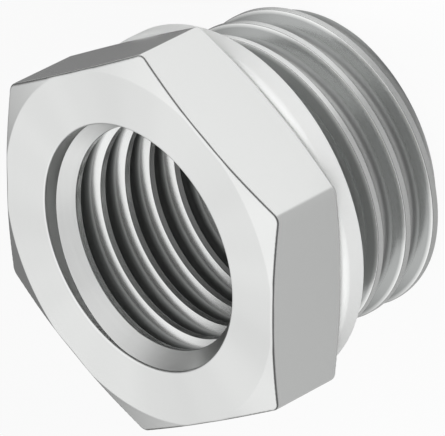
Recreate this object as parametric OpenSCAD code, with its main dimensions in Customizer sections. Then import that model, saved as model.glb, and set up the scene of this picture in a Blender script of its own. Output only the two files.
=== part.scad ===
// Reducing nipple: a hexagon with a male thread below it, a smaller female
// thread right through it, and a captive sealing ring behind the hexagon.
// It stands on its male end. The origin is the centre of that end face,
// +Z runs up the axis, and two corners of the hexagon lie on the X axis.
// Both threads are right-handed, with flat crests, 55 degree flanks and a
// rounded root, as a pipe thread has.

/* [Hexagon] */
// Width across the flats
hex_af = 24; // [23:0.5:36]
// Height of the hexagon
hex_h = 6.2; // [4:0.1:12]
// Radius of the six long edges
hex_edge_r = 0.7; // [0.2:0.1:2]
// Slope of the turned chamfer on both faces, in degrees
hex_chamfer_a = 15; // [8:1:30]

/* [Male thread] */
// Diameter over the crests
male_d = 20.955; // [20:0.005:22]
// Length from the sealing ring to the end face
male_len = 9.6; // [7:0.1:16]
// Distance from one crest to the next
male_pitch = 2.5; // [2:0.1:3]
// Width of the flat crest
male_crest_w = 0.45; // [0.2:0.05:0.8]
// Depth of the groove
male_depth = 1.16; // [0.8:0.02:1.3]
// Chamfer at the end face
male_chamfer = 0.9; // [0.4:0.05:1]

/* [Female thread] */
// Diameter between the crests
female_d = 14.95; // [12:0.005:15.4]
// Distance from one crest to the next
female_pitch = 2.2; // [1.6:0.1:3]
// Width of the flat crest
female_crest_w = 0.43; // [0.2:0.05:0.8]
// Depth of the groove
female_depth = 0.856; // [0.6:0.002:1]
// Play of the counterbore around the bottom of the groove
mouth_play = 0.07; // [0.02:0.01:0.2]
// Depth of the counterbore in the hexagon's face
mouth_depth = 0.5; // [0.2:0.1:2]

/* [Sealing ring] */
// How far the ring stands out past the flats of the hexagon
ring_proud = 0.2; // [0.05:0.05:1]
// Thickness along the axis
ring_h = 1.8; // [1:0.1:3]
// Rounding of its outer edge next to the hexagon
ring_edge_r = 0.5; // [0.2:0.1:0.9]
// Play between the ring and the neck that holds it
ring_play = 0.05; // [0.02:0.01:0.2]

/* [Hidden] */

fine = 96;
turn_steps = 30;
arc_steps = 6;
overshoot = 0.5;
flank_a = 27.5;
groove_reach = 0.15;

// Heights over the end face
hex_z = male_len + ring_h;
top_z = hex_z + hex_h;

// Male side: the neck lies a little deeper than the thread's groove
male_r = male_d / 2;
male_root_r = male_r - male_depth;
neck_r = male_root_r - 0.15;
neck_z = male_len - 0.5;
male_start = 0.62;

// Female side: the counterbore clears the bottom of the groove
female_r = female_d / 2;
female_root_r = female_r + female_depth;
mouth_r = female_root_r + mouth_play;
female_start = 0.65;

// One turn of a corner of the hexagon, as points on its rounding
corner_steps = 6;
corner_r = (hex_af / 2 - hex_edge_r) / cos(30);
hex_outline = [
    for (corner = [0 : 5], i = [0 : corner_steps])
        let (a = 60 * corner - 30 + 60 * i / corner_steps)
        [corner_r * cos(60 * corner) + hex_edge_r * cos(a),
         corner_r * sin(60 * corner) + hex_edge_r * sin(a)]
];

// Outline of a groove in the plane of radius and height: straight flanks that
// run on past the crest, and a root rounded to touch both of them. side is 1
// where it opens outwards, -1 inwards
function groove_outline(root_r, depth, width, side) =
    let (
        point_depth = width / 2 / tan(flank_a),
        root_arc_r = max(0.05, (point_depth - depth) / (1 / sin(flank_a) - 1)),
        edge_r = root_r + side * (depth + groove_reach),
        edge_z = side * (width / 2 + groove_reach * tan(flank_a))
    )
    concat(
        [[edge_r, -edge_z]],
        [for (i = [0 : arc_steps])
            let (a = (90 - flank_a) * (2 * i / arc_steps - 1))
            [root_r + side * (1 - cos(a)) * root_arc_r, side * sin(a) * root_arc_r]],
        [[edge_r, edge_z]]
    );

// A right-handed helical groove whose centre passes start_z over the +X side
module helical_groove(outline, pitch, start_z, from_z, to_z) {
    n = len(outline);
    first = floor((from_z - start_z) / pitch * turn_steps);
    last = ceil((to_z - start_z) / pitch * turn_steps);
    rings = last - first + 1;
    points = [
        for (k = [first : last], p = outline)
            let (turn = (k + 0.5) / turn_steps)
            [p[0] * cos(360 * turn), p[0] * sin(360 * turn), start_z + pitch * turn + p[1]]
    ];
    sides = [
        for (k = [0 : rings - 2], i = [0 : n - 1])
            let (a = k * n + i, b = k * n + (i + 1) % n)
            each [[a, a + n, b + n], [a, b + n, b]]
    ];
    cap = [for (i = [0 : n - 1]) i];
    far_cap = [for (i = [n - 1 : -1 : 0]) (rings - 1) * n + i];
    polyhedron(points, concat(sides, [cap, far_cap]), convexity = 12);
}

// Turned form that cuts both faces of the hexagon back at its corners
module hex_chamfers() {
    flat_r = hex_af / 2;
    reach = hex_af / 2 / cos(30) - flat_r + 1;
    drop = reach * tan(hex_chamfer_a);
    rotate_extrude($fn = fine)
        polygon([
            [0, hex_z], [flat_r, hex_z], [flat_r + reach, hex_z + drop],
            [flat_r + reach, top_z - drop], [flat_r, top_z], [0, top_z]
        ]);
}

module hexagon() {
    intersection() {
        translate([0, 0, hex_z])
            linear_extrude(hex_h)
                polygon(hex_outline);
        hex_chamfers();
    }
}

// Neck for the sealing ring and the plain form of the male thread
module spigot() {
    lead = male_r - neck_r;
    rotate_extrude($fn = fine)
        polygon([
            [0, 0], [male_r - male_chamfer, 0], [male_r, male_chamfer],
            [male_r, neck_z - lead], [neck_r, neck_z],
            [neck_r, hex_z + overshoot], [0, hex_z + overshoot]
        ]);
}

// Counterbore, countersink, bore between the crests, and countersink below
module bore() {
    sink = mouth_r - female_r;
    rotate_extrude($fn = fine)
        polygon([
            [0, -overshoot], [mouth_r + overshoot, -overshoot], [female_r, sink],
            [female_r, top_z - mouth_depth - sink], [mouth_r, top_z - mouth_depth],
            [mouth_r, top_z + overshoot], [0, top_z + overshoot]
        ]);
}

module male_groove() {
    width = male_pitch - male_crest_w;
    helical_groove(
        groove_outline(male_root_r, male_depth, width, 1),
        male_pitch, male_start, -width, neck_z + width / 2 + 0.1
    );
}

module female_groove() {
    width = female_pitch - female_crest_w;
    helical_groove(
        groove_outline(female_root_r, female_depth, width, -1),
        female_pitch, female_start, -width, top_z + width
    );
}

// Opens the first half turn below the counterbore down to a sloping flank, so
// that the thread has a blunt start and the counterbore leads straight into it
module lead_in() {
    half_w = (female_pitch - female_crest_w) / 2;
    lead_in_r = female_root_r - 0.03;
    end_z = top_z - mouth_depth - (mouth_r - female_r) + half_w;
    helical_groove(
        [
            [female_r - groove_reach, -half_w - groove_reach],
            [female_r - groove_reach, 2 * female_pitch],
            [lead_in_r, 2 * female_pitch],
            [lead_in_r, lead_in_r - female_r - half_w]
        ],
        female_pitch, female_start, end_z - female_pitch / 2, end_z + female_pitch / 8
    );
}

module nipple_body() {
    color([0.78, 0.78, 0.77])
        difference() {
            union() {
                hexagon();
                spigot();
            }
            bore();
            male_groove();
            female_groove();
            lead_in();
        }
}

module sealing_ring() {
    r = hex_af / 2 + ring_proud;
    inner_r = neck_r + ring_play;
    color([0.95, 0.95, 0.94])
        rotate_extrude($fn = fine)
            union() {
                translate([inner_r, male_len])
                    square([r - inner_r, ring_h - ring_edge_r]);
                translate([inner_r, hex_z - ring_edge_r])
                    square([r - ring_edge_r - inner_r, ring_edge_r]);
                translate([r - ring_edge_r, hex_z - ring_edge_r])
                    circle(ring_edge_r, $fn = 48);
            }
}

nipple_body();
sealing_ring();
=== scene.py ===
import math

import bpy
import numpy as np
from mathutils import Matrix, Vector


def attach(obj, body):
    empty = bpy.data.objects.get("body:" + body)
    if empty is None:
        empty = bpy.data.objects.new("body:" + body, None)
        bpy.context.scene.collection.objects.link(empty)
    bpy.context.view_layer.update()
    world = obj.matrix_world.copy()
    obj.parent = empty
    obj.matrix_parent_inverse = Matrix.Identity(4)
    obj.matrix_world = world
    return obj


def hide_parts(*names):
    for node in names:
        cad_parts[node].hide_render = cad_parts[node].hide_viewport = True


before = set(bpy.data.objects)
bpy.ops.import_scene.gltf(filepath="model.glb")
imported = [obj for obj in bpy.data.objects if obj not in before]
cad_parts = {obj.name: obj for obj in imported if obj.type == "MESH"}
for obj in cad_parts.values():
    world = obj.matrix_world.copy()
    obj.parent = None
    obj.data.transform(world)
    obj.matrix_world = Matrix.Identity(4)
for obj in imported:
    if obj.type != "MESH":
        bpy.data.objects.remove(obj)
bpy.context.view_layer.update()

# ---------------------------------------------------------------- sizes in millimetres

MM = 0.001

# As in the part's source
FLATS = 24.0                     # hexagon across its flats
HEX_LOW, TOP = 11.4, 17.6        # the hexagon's two faces
EDGE_R = 0.7                     # its six long edges
CHAMFER = math.radians(15)       # turned chamfer on both faces
MALE_R, MALE_ROOT_R = 10.4775, 9.3175
MALE_PITCH, MALE_CREST = 2.5, 0.45
MALE_FLANK = math.radians(27.5)
MALE_START = 0.62                # height of the middle of the groove over the X axis
MALE_CHAMFER = 0.9               # at the end face
NECK_R, NECK_Z = 9.1675, 9.1     # the neck that holds the ring
FEMALE_R, FEMALE_ROOT_R = 7.475, 8.331
FEMALE_PITCH, FEMALE_CREST = 2.2, 0.43
FEMALE_START = 0.65
MOUTH_R = 8.401                  # counterbore in the hexagon's face
RING_R, RING_IN, RING_LOW = 12.2, 9.2175, 9.6

# A little different from the source, to look as the real one does
FEMALE_FLANK = math.radians(30.5)      # open enough to catch the light
MOUTH_DEPTH, CONE_DEPTH = 0.2, 1.2     # the counterbore's wall, and the cone below it
RING_EDGE = 0.45                       # the ring's rounded edge next to the hexagon
RING_RELIEF_R, RING_RELIEF = 10.9, 0.14    # from here out it stands off the hexagon

# Finer than the source
CHAMFER_EASE = 0.05              # half the width of the blend from face to chamfer
CONTOUR_R = 0.25                 # deburred edge where the chamfer meets a flat
RIM_R = 0.15                     # rounded rim of the counterbore
MALE_BREAK, FEMALE_BREAK = 0.1, 0.08   # broken edges of the crests
TURNED_BREAK = 0.1               # broken edges of the turned cuts
END_BREAK = 0.05                 # broken edge of the end face
FINE_BREAK = 0.03                # where the counterbore's wall meets the cone
BEVEL = 0.04                     # width of the broken edge where two cuts meet
RING_BREAK, RING_FINE, RING_LOW_BREAK = 0.1, 0.04, 0.06    # the ring's small edges
MOUTH_FLANK = 0.73               # height of the flank below the counterbore at its start

# Places round the female thread's blunt start, in degrees back from its end
FLANK_FULL = 110                 # the flank has come down to MOUTH_FLANK
FLANK_FADES, FLANK_FADE = 165, 25      # it begins to run into the crest, and for how long
FLANK_WRAPS = 345                # beyond this a place lies before the end
GROOVE_RUN_OUT = 20              # over which the groove runs out

# How fine the meshes are
TURNS, RING_TURNS = 216, 240     # even columns round the axis
ROOT_ROWS, BREAK_ROWS = 11, 4    # rows in a groove's bottom and in a broken edge
CORNER_COLUMNS = 9               # columns round each long edge of the hexagon
CONTOUR_STEPS = (0.2, 0.4, 0.6, 0.8, 1.0)    # rows over the deburred edge
FACE_ROWS = (9.3, 10.4)          # radii of the rows across the front face
BACK_ROWS = (NECK_R + 0.02, 10.4)    # and across the back
PAST = 1                         # threads are drawn this far past both ends, then cut
CLOSE = 0.005                    # rows closer than this are one
SAME = 1e-6                      # outlines closer than this lie on each other


# ---------------------------------------------------------------- outlines

def left(d):
    """The direction to the left of d."""
    return np.array([-d[1], d[0]])


def rounded(corners, steps=4):
    """A path of (r, z, radius) corners as rows of r, z and the normal on its
    left, with an arc of that radius at each corner."""
    at = np.array([c[:2] for c in corners], float)
    way = np.diff(at, axis=0)
    way /= np.linalg.norm(way, axis=1)[:, None]
    rows = [(*at[0], *left(way[0]))]
    for i in range(1, len(at) - 1):
        a, b = way[i - 1], way[i]
        turn = math.atan2(a[0] * b[1] - a[1] * b[0], float(a @ b))
        side, radius = math.copysign(1, turn), corners[i][2]
        start = at[i] - a * radius * math.tan(abs(turn) / 2)
        centre = start + side * radius * left(a)
        for k in range(steps + 1):
            t = turn * k / steps
            n = left(a) * math.cos(t) + left(left(a)) * math.sin(t)
            rows.append((*(centre - side * radius * n), *n))
    rows.append((*at[-1], *left(way[-1])))
    return np.array(rows)


def thread_turn(crest_r, root_r, pitch, crest_w, edge, flank):
    """One pitch of a thread from the middle of a crest upwards: rows of r,
    height, normal and the helix's rise per radian. The crest is flat with
    broken edges, the flanks are straight and the root is rounded."""
    side = math.copysign(1, crest_r - root_r)
    half, depth, rise = (pitch - crest_w) / 2, abs(crest_r - root_r), pitch / (2 * math.pi)
    root_arc_r = (half / math.tan(flank) - depth) / (1 / math.sin(flank) - 1)
    lean = math.pi / 2 - flank
    start = crest_w / 2 - edge * math.tan(lean / 2)
    broken = [(crest_r - side * edge * (1 - math.cos(b)), start + edge * math.sin(b),
               side * math.cos(b), math.sin(b), rise)
              for b in np.linspace(0, lean, BREAK_ROWS)]
    root = [(root_r + side * root_arc_r * (1 - math.cos(a)), pitch / 2 + root_arc_r * math.sin(a),
             side * math.cos(a), -math.sin(a), rise)
            for a in np.linspace(-lean, lean, ROOT_ROWS)]
    back = [(r, pitch - z, nr, -nz, rise) for r, z, nr, nz, rise in broken[::-1]]
    return np.array(broken + root + back)


def along(rows, z):
    """r, the normal and the rise of an outline at these heights."""
    return np.stack([np.interp(z, rows[:, 1], rows[:, c]) for c in (0, 2, 3, 4)], -1)


def cut_back(own, cut, side):
    """The outline own where it lies behind cut, and cut elsewhere, with a
    small bevel where the two cross."""
    least = 0.08    # share of its width that a bevel keeps in height on a flat outline
    z = np.union1d(own[:, 1], cut[:, 1])
    z = z[(z >= cut[0, 1]) & (z <= cut[-1, 1])]
    gap = side * (along(own, z)[:, 0] - along(cut, z)[:, 0])
    over = gap > SAME
    i = np.nonzero(over[1:] != over[:-1])[0]
    crossings = z[i] + (z[i + 1] - z[i]) * gap[i] / (gap[i] - gap[i + 1])
    ends = []
    for c, cut_first in zip(crossings, over[i]):
        high = [BEVEL * max(abs(along(rows, c)[1]), least) for rows in (cut, own)]
        before, after = high if cut_first else high[::-1]
        z = z[(z < c - before) | (z > c + after)]
        ends += [c - before, c + after]
    z = np.unique(np.clip(np.concatenate([z, ends, cut[[0, -1], 1]]), cut[0, 1], cut[-1, 1]))
    mine, theirs = along(own, z), along(cut, z)
    on_cut = side * (mine[:, 0] - theirs[:, 0]) > SAME
    chosen = np.where(on_cut[:, None], theirs, mine)
    rows = np.column_stack([chosen[:, 0], z, chosen[:, 1:]])
    middles = []
    for c in crossings:
        a, b = rows[rows[:, 1] < c][-1:], rows[rows[:, 1] > c][:1]
        if len(a) and len(b):
            middle = (a[0] + b[0]) / 2
            middle[:2] = (middle[:2] + [along(cut, c)[0], c]) / 2
            middles.append(middle)
    rows = np.concatenate([rows, np.array(middles).reshape(-1, 5)])
    rows = rows[np.argsort(rows[:, 1], kind="stable")]
    kept = [rows[0]]
    for row in rows[1:-1]:
        if min(math.dist(row[:2], kept[-1][:2]), math.dist(row[:2], rows[-1, :2])) > CLOSE:
            kept.append(row)
    return np.array(kept + [rows[-1]])


def turned(rows):
    """Rows of r, z and normal with no rise: a turned outline."""
    return np.column_stack([rows, np.zeros(len(rows))])


def helix_rows(angle, turn, pitch, groove_z, low, high, end=math.inf):
    """The outline of a thread at one angle, over this range of heights. Its
    groove runs out once its middle has come up to end."""
    crest = groove_z - pitch / 2 + pitch * angle / (2 * math.pi)
    first = math.floor((low - crest) / pitch) - 1
    last = math.ceil((high - crest) / pitch) + 1
    parts = []
    for k in range(first, last + 1):
        rows = turn + [0, crest + k * pitch, 0, 0, 0]
        past_end = (crest + (k + 0.5) * pitch - end) / (pitch * GROOVE_RUN_OUT / 360)
        if past_end > 0:
            depth = max(0.0, 1 - past_end)
            rows[:, 0] = turn[0, 0] + (rows[:, 0] - turn[0, 0]) * depth
            rows[:, 2:4] = turn[0, 2:4] + (rows[:, 2:4] - turn[0, 2:4]) * depth
            rows[:, 2:4] /= np.linalg.norm(rows[:, 2:4], axis=1)[:, None]
        parts.append(rows)
    return np.concatenate(parts)


def plain(rows):
    """Rows of r, z, nr, nz as turned metal: r, z and a local normal (radial,
    round, up)."""
    return np.column_stack([rows[:, :3], np.zeros(len(rows)), rows[:, 3]])


def helical(rows):
    """The same for rows that may lie on a helix: its normal leans round."""
    out = plain(rows)
    out[:, 3] = -rows[:, 3] * rows[:, 4] / rows[:, 0]
    out[:, 2:] /= np.linalg.norm(out[:, 2:], axis=1)[:, None]
    return out


# ---------------------------------------------------------------- the hexagon

SIDE = FLATS / 2
SIXTH = math.radians(60)
CORNER_AT = (SIDE - EDGE_R) / math.cos(SIXTH / 2)    # centre of a long edge's rounding


def column_angles():
    """Even columns round the axis, with extra ones on the six rounded edges."""
    round_edge = np.radians(np.linspace(-30, 30, CORNER_COLUMNS))
    edge = np.arctan2(EDGE_R * np.sin(round_edge), CORNER_AT + EDGE_R * np.cos(round_edge))
    even = np.arange(TURNS) * 2 * math.pi / TURNS
    corner = np.round(even / SIXTH) * SIXTH
    even = even[np.abs(even - corner) > edge[-1] * 1.02]    # and none close beside them
    extra = np.concatenate([edge + SIXTH * k for k in range(6)])
    return np.sort(np.concatenate([even, extra]))


def hexagon_outline(angle):
    """Radius of the rounded hexagon at an angle, and which way it faces."""
    corner = round(angle / SIXTH) * SIXTH
    off = angle - corner
    limit = math.atan2(EDGE_R * math.sin(SIXTH / 2), CORNER_AT + EDGE_R * math.cos(SIXTH / 2))
    if abs(off) < limit:
        r = CORNER_AT * math.cos(off) + math.sqrt(EDGE_R ** 2 - (CORNER_AT * math.sin(off)) ** 2)
        return r, corner + math.asin(r * math.sin(off) / EDGE_R)
    facing = corner + math.copysign(SIXTH / 2, off)
    return SIDE / math.cos(facing - angle), facing


def hexagon_half(angle, inner):
    """From the flat of a face out to the long side: rows of r, depth below the
    face, and a local normal (radial, round, up) for that face."""
    r, facing = hexagon_outline(angle)
    lean = facing - angle

    def depth(x):
        x, w = x - SIDE, CHAMFER_EASE
        ramp = 0 if x < -w else x if x > w else (x + w) ** 2 / (4 * w)
        return ramp * math.tan(CHAMFER)

    def up(x):
        share = min(max((x - SIDE + CHAMFER_EASE) / (2 * CHAMFER_EASE), 0), 1)
        return np.array([math.sin(CHAMFER * share), 0, math.cos(CHAMFER * share)])

    out = np.array([math.cos(lean), math.sin(lean), 0])
    slope = math.atan2(up(r)[0] * math.cos(lean), up(r)[2])
    reach = CONTOUR_R * math.tan((math.pi / 2 - slope) / 2)
    start = r - reach * math.cos(slope) / math.cos(lean)
    # The blend lies at the chamfer circle, or crowded in front of the contour
    blend = [min(SIDE + step * CHAMFER_EASE, start - 0.02 * (4 - k))
             for k, step in enumerate((-1, -0.3, 0.3, 1))]
    rows = [(x, depth(x), *up(x)) for x in (*inner, *blend, start)]
    a, b = np.array([start, depth(start)]), np.array([r, depth(r) + reach])
    c = np.array([r, depth(r)])
    for t in CONTOUR_STEPS:
        p = a * (1 - t) ** 2 + c * 2 * t * (1 - t) + b * t ** 2
        n = up(start) * (1 - t) + out * t
        rows.append((*p, *(n / np.linalg.norm(n))))
    return np.array(rows)


# ---------------------------------------------------------------- the two threads

MALE_TURN = thread_turn(MALE_R, MALE_ROOT_R, MALE_PITCH, MALE_CREST, MALE_BREAK, MALE_FLANK)
FEMALE_TURN = thread_turn(FEMALE_R, FEMALE_ROOT_R, FEMALE_PITCH, FEMALE_CREST,
                          FEMALE_BREAK, FEMALE_FLANK)

# What the turned cuts leave of them. Paths run a little past their ends
FLANK_END = TOP - MOUTH_DEPTH - CONE_DEPTH
BORE_LIMIT = rounded([
    (MOUTH_R + 0.3, 0, 0), (MOUTH_R, 0, END_BREAK), (FEMALE_R, MOUTH_R - FEMALE_R, TURNED_BREAK),
    (FEMALE_R, FLANK_END, TURNED_BREAK), (MOUTH_R, TOP - MOUTH_DEPTH, FINE_BREAK),
    (MOUTH_R, TOP, RIM_R), (MOUTH_R + 0.3, TOP, 0)])
SPIGOT_LIMIT = rounded([
    (NECK_R, HEX_LOW, 0), (NECK_R, NECK_Z, TURNED_BREAK),
    (MALE_R, NECK_Z - (MALE_R - NECK_R), TURNED_BREAK), (MALE_R, MALE_CHAMFER, TURNED_BREAK),
    (MALE_R - MALE_CHAMFER, 0, END_BREAK), (MALE_R - MALE_CHAMFER - 0.2, 0, 0)])

# The female thread's blunt start: over half a turn below the counterbore a
# sloping flank stands in front of the first crest, and its groove ends there
GROOVE_END = FLANK_END + (FEMALE_PITCH - FEMALE_CREST) / 2 - FEMALE_PITCH / 2
FLANK_END_ANGLE = (GROOVE_END - FEMALE_START) / FEMALE_PITCH * 360 + 180


def flank_at(angle):
    """How far round the flank this angle lies, back from its end, the height
    of its lower edge there, and how far it has faded into the crest."""
    back = (FLANK_END_ANGLE - math.degrees(angle)) % 360
    if back > FLANK_WRAPS:
        back -= 360
    fade = max(0.0, (back - FLANK_FADES) / FLANK_FADE)
    return back, FLANK_END - FEMALE_PITCH * back / 360, fade


def lead_in(angle):
    """The sloping flank at one angle, or nothing where it has run out."""
    back, start, fade = flank_at(angle)
    if fade > 1:
        return None
    height = CONE_DEPTH + (MOUTH_FLANK - CONE_DEPTH) * min(max(back / FLANK_FULL, 0), 1)
    rows = rounded([(FEMALE_R, -1, 0), (FEMALE_R, start + fade * height, FEMALE_BREAK),
                    (MOUTH_R, start + (1 + fade) * height, FINE_BREAK), (MOUTH_R, TOP + 3, 0)])
    return np.column_stack([rows, np.full(len(rows), FEMALE_PITCH / (2 * math.pi))])


def in_mouth(angle, z):
    """Whether a point of the bore is above the first crest's middle."""
    back, start, fade = flank_at(angle)
    return z > (start if fade < 1 else FLANK_END) - FEMALE_CREST / 2


# ---------------------------------------------------------------- the pieces

FLAT, TURNED, CUT = 0, 1, 2      # the nipple's finishes, in the order of its materials

# The finish of each piece of a column, and of its join to the next piece
NIPPLE_ZONES = [
    (CUT, TURNED),       # bore
    (TURNED, TURNED),    # rim of the counterbore
    (TURNED, FLAT),      # face, and then the flat of the hexagon
    (TURNED, TURNED),    # the hexagon's back
    (CUT, TURNED),       # neck and male thread
    (TURNED, TURNED),    # end face
]


def nipple_column(angle):
    """The body's closed outline at one angle, in pieces that each join the
    same piece of the next column."""
    mouth = BORE_LIMIT[1:-1]
    rim_at = TOP - RIM_R - 0.001
    low, rim = mouth[mouth[:, 1] <= 0], mouth[mouth[:, 1] >= rim_at]
    wall = mouth[(mouth[:, 1] > 0) & (mouth[:, 1] < rim_at)]
    bore = helix_rows(angle, FEMALE_TURN, FEMALE_PITCH, FEMALE_START,
                      -PAST, TOP + PAST, GROOVE_END)
    opening = lead_in(angle)
    if opening is not None:
        bore = cut_back(bore, opening, -1)
    bore = cut_back(bore, turned(np.concatenate([low[-1:], wall, rim[:1]])), -1)
    face = hexagon_half(angle, FACE_ROWS)
    face[:, 1] = TOP - face[:, 1]
    back = hexagon_half(angle, BACK_ROWS)[::-1]
    back[:, 1] += HEX_LOW
    back[:, 4] *= -1
    spigot = SPIGOT_LIMIT[:-1]
    male = helix_rows(angle, MALE_TURN, MALE_PITCH, MALE_START, -PAST, HEX_LOW + PAST)
    male = cut_back(male, turned(spigot[spigot[:, 1].argsort(kind="stable")]), 1)
    male = helical(male[::-1])
    if male[-1, 4] > -0.9:    # the groove runs out through the end face
        male[-1, 2:] += [0, 0, -1]
        male[-1, 2:] /= np.linalg.norm(male[-1, 2:])
    inside = np.array([[male[-1, 0] - END_BREAK, 0, 0, 0, -1]])
    return [helical(bore), plain(rim[1:]), face, back, male, inside]


def nipple_finish(angle, z, finish):
    """The mouth above the first crest is turned, the rest of the bore cut."""
    return TURNED if finish == CUT and in_mouth(angle, z) else finish


def ring_column(angle):
    """The sealing ring's closed outline, the same at every angle."""
    relief_z = HEX_LOW - RING_RELIEF
    return [plain(rounded([
        (RING_IN + 1, RING_LOW, 0), (RING_IN, RING_LOW, RING_BREAK),
        (RING_IN, HEX_LOW, RING_BREAK), (RING_RELIEF_R, HEX_LOW, RING_FINE),
        (RING_RELIEF_R + 0.15, relief_z, RING_FINE), (RING_R, relief_z, RING_EDGE),
        (RING_R, RING_LOW, RING_LOW_BREAK), (RING_R - 1, RING_LOW, 0)], 8))]


def zip_pair(a, b):
    """Triangles between two nearly equal outlines, by the shorter diagonal.
    Each is (whether a moves on, place in a, place in b)."""
    a, b = a[:, :2].tolist(), b[:, :2].tolist()
    i = j = 0
    steps = []
    while i < len(a) - 1 or j < len(b) - 1:
        if j == len(b) - 1 or (i < len(a) - 1
                               and math.dist(a[i + 1], b[j]) <= math.dist(a[i], b[j + 1])):
            steps.append((True, i, j))
            i += 1
        else:
            steps.append((False, i, j))
            j += 1
    return steps


def skin(name, angles, column, zones, finish_at=None):
    """A closed body from its outlines at these angles. zones gives each
    piece's finish and that of its join to the next, and finish_at may change
    one by angle and height."""
    points, normals, faces, finishes = [], [], [], []
    columns = [column(a) for a in angles]
    starts = []
    for angle, pieces in zip(angles, columns):
        c, s = math.cos(angle), math.sin(angle)
        at = []
        for rows in pieces:
            at.append(len(points))
            for r, z, nr, nt, nz in rows:
                points.append((r * c * MM, r * s * MM, z * MM))
                normals.append((nr * c - nt * s, nr * s + nt * c, nz))
        starts.append(at)
    for k, angle in enumerate(angles):
        n = (k + 1) % len(angles)
        for p, (here, there) in enumerate(zip(columns[k], columns[n])):
            x, y = starts[k][p], starts[n][p]
            own_finish, join_finish = zones[p]
            for own, i, j in zip_pair(here, there):
                faces.append((x + i, x + i + 1, y + j) if own else (x + i, y + j + 1, y + j))
                begin = here[i] if own else there[j]
                finishes.append(finish_at(angle, begin[1], own_finish) if finish_at
                                else own_finish)
            q = (p + 1) % len(columns[k])
            i, j, u, v = x + len(here) - 1, y + len(there) - 1, starts[k][q], starts[n][q]
            faces += [(i, u, j), (u, v, j)]
            finishes += [join_finish] * 2
    mesh = bpy.data.meshes.new(name)
    mesh.from_pydata(points, [], faces)
    mesh.polygons.foreach_set("use_smooth", [True] * len(faces))
    mesh.polygons.foreach_set("material_index", finishes)
    mesh.normals_split_custom_set_from_vertices(normals)
    mesh.validate()
    piece = bpy.data.objects.new(name, mesh)
    bpy.context.scene.collection.objects.link(piece)
    return piece


nipple = skin("nipple", column_angles(), nipple_column, NIPPLE_ZONES, nipple_finish)
ring = skin("seal_ring", np.arange(RING_TURNS) * 2 * math.pi / RING_TURNS, ring_column,
            [(0, 0)])


# ---------------------------------------------------------------- finishes

# A node's sockets go by name, or by place where several share a name. These
# are the places of the two colours that a Mix node mixes
FIRST, SECOND = 6, 7


def linear(hex_colour):
    """An sRGB hex colour as linear red, green, blue and alpha."""
    parts = [int(hex_colour[i:i + 2], 16) / 255 for i in (0, 2, 4)]
    return (*(c / 12.92 if c <= 0.04045 else ((c + 0.055) / 1.055) ** 2.4 for c in parts), 1)


def finish_of(name):
    """A new material, its node tree and its shader."""
    material = bpy.data.materials.new(name)
    material.use_nodes = True
    tree = material.node_tree
    return material, tree, tree.nodes["Principled BSDF"]


def add(tree, kind, values=(), links=(), **settings):
    """Adds a node with its settings, socket values and incoming links."""
    node = tree.nodes.new(kind)
    for key, value in settings.items():
        setattr(node, key, value)
    for key, value in dict(values).items():
        node.inputs[key].default_value = value
    for key, socket in dict(links).items():
        tree.links.new(socket, node.inputs[key])
    return node


def nickel(name, roughness, anisotropic=0.0):
    """Satin nickel plate over brass: pale and neutral, and as rough as the
    cutting marks that show through it."""
    material, tree, shader = finish_of(name)
    shader.inputs["Base Color"].default_value = linear("e3e4e3")
    shader.inputs["Metallic"].default_value = 1.0
    shader.inputs["Roughness"].default_value = roughness
    shader.inputs["Anisotropic"].default_value = anisotropic
    return material, tree, shader


def from_axis(tree):
    """Sockets of a point's place, of its place seen along the nipple's axis,
    and of its distance from that axis."""
    place = add(tree, "ShaderNodeTexCoord").outputs["Object"]
    flat = add(tree, "ShaderNodeVectorMath", {1: (1, 1, 0)}, {0: place}, operation="MULTIPLY")
    radius = add(tree, "ShaderNodeVectorMath", {}, {0: flat.outputs[0]}, operation="LENGTH")
    return place, flat.outputs[0], radius.outputs["Value"]


def relief(tree, shader, place, size, detail, depth):
    """Noise of this size and depth in millimetres, pressed into the surface."""
    noise = add(tree, "ShaderNodeTexNoise", {"Scale": 0.5 / (size * MM), "Detail": detail},
                {"Vector": place})
    bump = add(tree, "ShaderNodeBump", {"Strength": 1.0, "Distance": depth * MM},
               {"Height": noise.outputs[0]})
    tree.links.new(bump.outputs[0], shader.inputs["Normal"])
    return noise.outputs[0]


# The flats are drawn bar, plated: an even satin grain, nearly without marks,
# so that each one is a single calm tone. The grain is drawn 0.2 mm wide
flats_metal, tree, shader = nickel("satin_nickel_on_drawn_flats", 0.17)
place = add(tree, "ShaderNodeTexCoord").outputs["Object"]
relief(tree, shader, place, 0.2, 3.0, 0.0002)

# The faces and the mouth are turned: fine rings that draw the light out across
# them. Real ones are 0.05 mm apart, drawn 0.2 mm apart so that they show. The
# broad soft rays round the face are a painted sheen in the colour
turned_metal, tree, shader = nickel("satin_nickel_on_turned_faces", 0.3, 0.85)
round_axis = add(tree, "ShaderNodeTangent", direction_type="RADIAL", axis="Z")
tree.links.new(round_axis.outputs[0], shader.inputs["Tangent"])
place, flat, radius = from_axis(tree)
height = add(tree, "ShaderNodeSeparateXYZ", {}, {0: place}).outputs["Z"]
ring_place = add(tree, "ShaderNodeCombineXYZ", {}, {"X": radius, "Y": height})
relief(tree, shader, ring_place.outputs[0], 0.2, 2.0, 0.0025)
# Painted sheen: the base colour turns lighter and darker by angle round the axis, in broad soft
# rays
way_round = add(tree, "ShaderNodeVectorMath", {}, {0: flat}, operation="NORMALIZE")
painted_sheen_rays = add(tree, "ShaderNodeTexNoise", {"Scale": 1.2, "Detail": 2.0},
           {"Vector": way_round.outputs[0]})
level = add(tree, "ShaderNodeMapRange", {"From Min": 0.3, "From Max": 0.7},
            {"Value": painted_sheen_rays.outputs[0]})
colour = add(tree, "ShaderNodeMix", {FIRST: linear("d9dad9"), SECOND: linear("e9eae9")},
             {0: level.outputs[0]}, data_type="RGBA")
tree.links.new(colour.outputs[2], shader.inputs["Base Color"])
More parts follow.
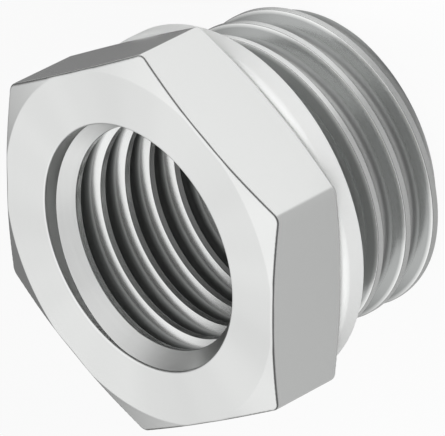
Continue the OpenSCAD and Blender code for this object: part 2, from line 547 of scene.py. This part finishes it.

# The threads are cut: plain bright plate on crests and flanks. Towards the
# bottoms of the grooves the metal turns rougher, and its colour turns darker as
# painted shade, most of all inside the bore. The male flanks that face up
# towards the hexagon get painted shade in their colour too
ROOTS_MIDDLE = (FEMALE_ROOT_R + MALE_ROOT_R) / 2    # radius half way between the two roots
# Over these distances the colour darkens into painted shade at the roots, and the roughness rises
DULL_AND_SHADED_TO, GLOSSY_AND_UNSHADED_FROM = 0.62, 1.0                    # distance from there
CREST_FROM, CREST_AT = 10.2, 10.4                   # radius where the male crests begin

thread_metal, tree, shader = nickel("satin_nickel_on_cut_threads", 0.2)
radius = from_axis(tree)[2]
from_roots = add(tree, "ShaderNodeMath", {1: ROOTS_MIDDLE * MM}, {0: radius},
                 operation="SUBTRACT").outputs[0]
distance = add(tree, "ShaderNodeMath", {}, {0: from_roots}, operation="ABSOLUTE")
glossy_and_out_of_root_shade = add(tree, "ShaderNodeMapRange", {"From Min": DULL_AND_SHADED_TO * MM, "From Max": GLOSSY_AND_UNSHADED_FROM * MM},
             {"Value": distance.outputs[0]}, interpolation_type="SMOOTHSTEP").outputs[0]
outside = add(tree, "ShaderNodeMath", {1: 0.0}, {0: from_roots},
              operation="GREATER_THAN").outputs[0]
# Painted shade in the groove bottoms, darker inside the bore than on the male thread
root = add(tree, "ShaderNodeMix", {FIRST: linear("7c7e7d"), SECOND: linear("d2d3d2")},
           {0: outside}, data_type="RGBA")
plate_with_root_shade = add(tree, "ShaderNodeMix", {SECOND: linear("e3e4e3")},
             {0: glossy_and_out_of_root_shade, FIRST: root.outputs[2]}, data_type="RGBA")
# Painted shade on the male flanks: how far the metal faces up towards the hexagon, short of the
# crests
normal = add(tree, "ShaderNodeTexCoord").outputs["Normal"]
facing = add(tree, "ShaderNodeSeparateXYZ", {}, {0: normal})
up = add(tree, "ShaderNodeMapRange", {"From Min": 0.2, "From Max": 0.75},
         {"Value": facing.outputs["Z"]}, interpolation_type="SMOOTHSTEP")
below_crest = add(tree, "ShaderNodeMapRange",
                  {"From Min": CREST_FROM * MM, "From Max": CREST_AT * MM,
                   "To Min": 1.0, "To Max": 0.0}, {"Value": radius})
painted_flank_shade = add(tree, "ShaderNodeMath", {}, {0: up.outputs[0], 1: below_crest.outputs[0]},
          operation="MULTIPLY")
male_painted_flank_shade = add(tree, "ShaderNodeMath", {}, {0: painted_flank_shade.outputs[0], 1: outside},
               operation="MULTIPLY")
# Mixes the painted shade colour into the up-facing male flanks
colour = add(tree, "ShaderNodeMix", {SECOND: linear("a4a6a5")},
             {0: male_painted_flank_shade.outputs[0], FIRST: plate_with_root_shade.outputs[2]}, data_type="RGBA")
tree.links.new(colour.outputs[2], shader.inputs["Base Color"])
dullness = add(tree, "ShaderNodeMapRange", {"To Min": 0.45, "To Max": 0.2}, {"Value": glossy_and_out_of_root_shade})
tree.links.new(dullness.outputs[0], shader.inputs["Roughness"])

for metal in (flats_metal, turned_metal, thread_metal):    # FLAT, TURNED, CUT
    nipple.data.materials.append(metal)

# The ring is moulded white plastic: smooth, with a soft gloss and a grain too
# fine to see, drawn 0.3 mm wide
plastic, tree, shader = finish_of("moulded_white_sealing_plastic")
shader.inputs["Roughness"].default_value = 0.55
place = add(tree, "ShaderNodeTexCoord").outputs["Object"]
grain = relief(tree, shader, place, 0.3, 3.0, 0.0015)
colour = add(tree, "ShaderNodeMix", {FIRST: linear("f0f1f0"), SECOND: linear("edeeed")},
             {0: grain}, data_type="RGBA")
tree.links.new(colour.outputs[2], shader.inputs["Base Color"])
ring.data.materials.append(plastic)

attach(nipple, "root")
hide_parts("nipple_body")
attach(ring, "root")
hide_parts("sealing_ring")


# ---------------------------------------------------------------- studio

FLOOR_SIZE = 2.0
FLOOR_GAP = 0.00002              # below the end face, so that the two don't coincide
# The floor's colour carries painted light and shade: its tones go by direction from a point over
# the axis, with a painted pool of light lying one way
FLOOR_EYE = (0, 0, 0.016)        # its tones go by direction, as seen from this height
PAINTED_POOL_WAY = (0.985, 0.17, 0.0)    # and its pool of light lies this way
DOME_LEVEL = 1.494

# How much of the floor is plain white: for the camera, and for metal and glass
# as they reflect it or let it through, near a face that rests on it and beyond
CAMERA_WHITE, RESTING_WHITE, FLOOR_WHITE = 0.94, 0.6, 0.06
RESTING_TO, BEYOND_FROM = 0.2, 0.3    # length of such a ray, in millimetres
ROOM_WHITE = 0.15                # and how much of the room, for metal and glass


def seen_through(tree, path):
    """Whether a ray comes from metal that reflects or from glass."""
    return add(tree, "ShaderNodeMath", {}, {0: path.outputs["Is Glossy Ray"],
                                            1: path.outputs["Is Transmission Ray"]},
               operation="MAXIMUM").outputs[0]


def studio_plane(name, size, height):
    """A level square sheet round the axis that isn't part of the object."""
    mesh = bpy.data.meshes.new(name)
    h = size / 2
    mesh.from_pydata([(-h, -h, height), (h, -h, height), (h, h, height), (-h, h, height)],
                     [], [(0, 1, 2, 3)])
    plane = bpy.data.objects.new(name, mesh)
    bpy.context.scene.collection.objects.link(plane)
    return plane


# A white paper floor. Its colour holds a painted pool of light on the right of
# the camera and painted shade towards the back and far out, which metal shows.
# The camera sees it as white with a faint shadow, and it is clear from below
floor = studio_plane("floor", FLOOR_SIZE, -FLOOR_GAP)
paper = bpy.data.materials.new("white_paper_floor")
paper.use_nodes = True
tree = paper.node_tree
tree.nodes.clear()
place = add(tree, "ShaderNodeTexCoord").outputs["Object"]
reach = add(tree, "ShaderNodeVectorMath", {1: FLOOR_EYE}, {0: place}, operation="ADD")
aim = add(tree, "ShaderNodeVectorMath", {}, {0: reach.outputs[0]}, operation="NORMALIZE")
# The painted pool of light, on a painted tone that sinks towards the back
side = add(tree, "ShaderNodeVectorMath", {1: PAINTED_POOL_WAY}, {0: aim.outputs[0]},
           operation="DOT_PRODUCT")
painted_pool = add(tree, "ShaderNodeMapRange", {"From Min": 0.42, "From Max": 0.68},
           {"Value": side.outputs["Value"]}, interpolation_type="SMOOTHSTEP")
split = add(tree, "ShaderNodeSeparateXYZ", {}, {0: aim.outputs[0]})
painted_back_tone = add(tree, "ShaderNodeMapRange",
           {"From Min": -0.2, "From Max": 0.6, "To Min": 0.447, "To Max": 0.186},
           {"Value": split.outputs["Y"]})
painted_shade_tone = add(tree, "ShaderNodeMapRange", {"To Max": 0.82},
            {"Value": painted_pool.outputs[0], "To Min": painted_back_tone.outputs[0]})
# Far out all of it darkens into painted shade
painted_far_shade = add(tree, "ShaderNodeMapRange",
              {"From Min": 0.06, "From Max": 0.4, "To Min": 0.015, "To Max": 1.0},
              {"Value": split.outputs["Z"]}, interpolation_type="SMOOTHSTEP")
painted_tone = add(tree, "ShaderNodeMath", {}, {0: painted_shade_tone.outputs[0], 1: painted_far_shade.outputs[0]},
           operation="MULTIPLY")
painted_tint = add(tree, "ShaderNodeCombineColor", {}, {k: painted_tone.outputs[0] for k in range(3)})
lit = add(tree, "ShaderNodeBsdfDiffuse", {}, {"Color": painted_tint.outputs[0]})
white = add(tree, "ShaderNodeEmission", {"Strength": 1.0})
# The share of plain white, by who looks
path = add(tree, "ShaderNodeLightPath")
resting = add(tree, "ShaderNodeMapRange",
              {"From Min": RESTING_TO * MM, "From Max": BEYOND_FROM * MM,
               "To Min": RESTING_WHITE, "To Max": FLOOR_WHITE},
              {"Value": path.outputs["Ray Length"]})
in_metal = add(tree, "ShaderNodeMath", {}, {0: seen_through(tree, path), 1: resting.outputs[0]},
               operation="MULTIPLY")
share = add(tree, "ShaderNodeMath", {1: CAMERA_WHITE},
            {0: path.outputs["Is Camera Ray"], 2: in_metal.outputs[0]},
            operation="MULTIPLY_ADD")
top_side = add(tree, "ShaderNodeMixShader", {},
               {0: share.outputs[0], 1: lit.outputs[0], 2: white.outputs[0]})
below = add(tree, "ShaderNodeNewGeometry").outputs["Backfacing"]
clear = add(tree, "ShaderNodeBsdfTransparent")
sheet = add(tree, "ShaderNodeMixShader", {},
            {0: below, 1: top_side.outputs[0], 2: clear.outputs[0]})
add(tree, "ShaderNodeOutputMaterial", {}, {"Surface": sheet.outputs[0]})
floor.data.materials.append(paper)

# The room is a soft dome, bright overhead and over the far side of the object,
# with a white background
world = bpy.data.worlds.new("studio")
bpy.context.scene.world = world
world.use_nodes = True
tree = world.node_tree
tree.nodes.clear()
way = add(tree, "ShaderNodeTexCoord").outputs["Generated"]
# Dim low down, and darkest there on the camera's side
height = add(tree, "ShaderNodeVectorMath", {1: (0.0, -0.2, 1.0)}, {0: way},
             operation="DOT_PRODUCT")
sky = add(tree, "ShaderNodeMapRange",
          {"From Min": -0.08, "From Max": 0.6, "To Min": 0.141, "To Max": DOME_LEVEL},
          {"Value": height.outputs["Value"]}, interpolation_type="SMOOTHSTEP")
behind = add(tree, "ShaderNodeVectorMath", {1: (-0.15, 0.5, 1.0)}, {0: way},
             operation="DOT_PRODUCT")
front = add(tree, "ShaderNodeMapRange",
            {"From Min": 0.1, "From Max": 0.6, "To Min": 0.035, "To Max": DOME_LEVEL},
            {"Value": behind.outputs["Value"]}, interpolation_type="SMOOTHSTEP")
level = add(tree, "ShaderNodeMath", {}, {0: sky.outputs[0], 1: front.outputs[0]},
            operation="MINIMUM")
dome = add(tree, "ShaderNodeBackground", {}, {"Strength": level.outputs[0]})
white = add(tree, "ShaderNodeBackground", {"Strength": 1.0})
path = add(tree, "ShaderNodeLightPath")
share = add(tree, "ShaderNodeMath", {1: ROOM_WHITE},
            {0: seen_through(tree, path), 2: path.outputs["Is Camera Ray"]},
            operation="MULTIPLY_ADD")
room = add(tree, "ShaderNodeMixShader", {},
           {0: share.outputs[0], 1: dome.outputs[0], 2: white.outputs[0]})
add(tree, "ShaderNodeOutputWorld", {}, {"Surface": room.outputs[0]})

# A soft box over the camera lights the paper and the plastic. The metal shows
# the room only, so that its reflections stay plain
lamp = bpy.data.lights.new("soft_box", "AREA")
lamp.shape, lamp.size, lamp.energy = "SQUARE", 0.3, 1.7
soft_box = bpy.data.objects.new("soft_box", lamp)
soft_box.visible_glossy = False
stand = Vector((0.15, -0.38, 0.3))
soft_box.matrix_world = (Matrix.Translation(stand)
                         @ stand.to_track_quat("Z", "Y").to_matrix().to_4x4())
bpy.context.scene.collection.objects.link(soft_box)

# The camera stands where the photograph was taken from, rolled as it was
camera_data = bpy.data.cameras.new("camera")
camera_data.lens, camera_data.sensor_width = 556.385, 36.0
camera_data.clip_start, camera_data.clip_end = 0.01, 10.0
camera = bpy.data.objects.new("camera", camera_data)
across = (-0.00223336, -0.70766328, -0.70654631)
upward = (0.86009862, 0.35906789, -0.36235427)
backward = (0.5101229, -0.60850878, 0.60785828)
camera.matrix_world = (Matrix.Translation((0.22301816, -0.26716356, 0.27682407))
                       @ Matrix((across, upward, backward)).transposed().to_4x4())
bpy.context.scene.collection.objects.link(camera)
bpy.context.scene.camera = camera

bpy.context.scene.view_settings.view_transform = "Standard"
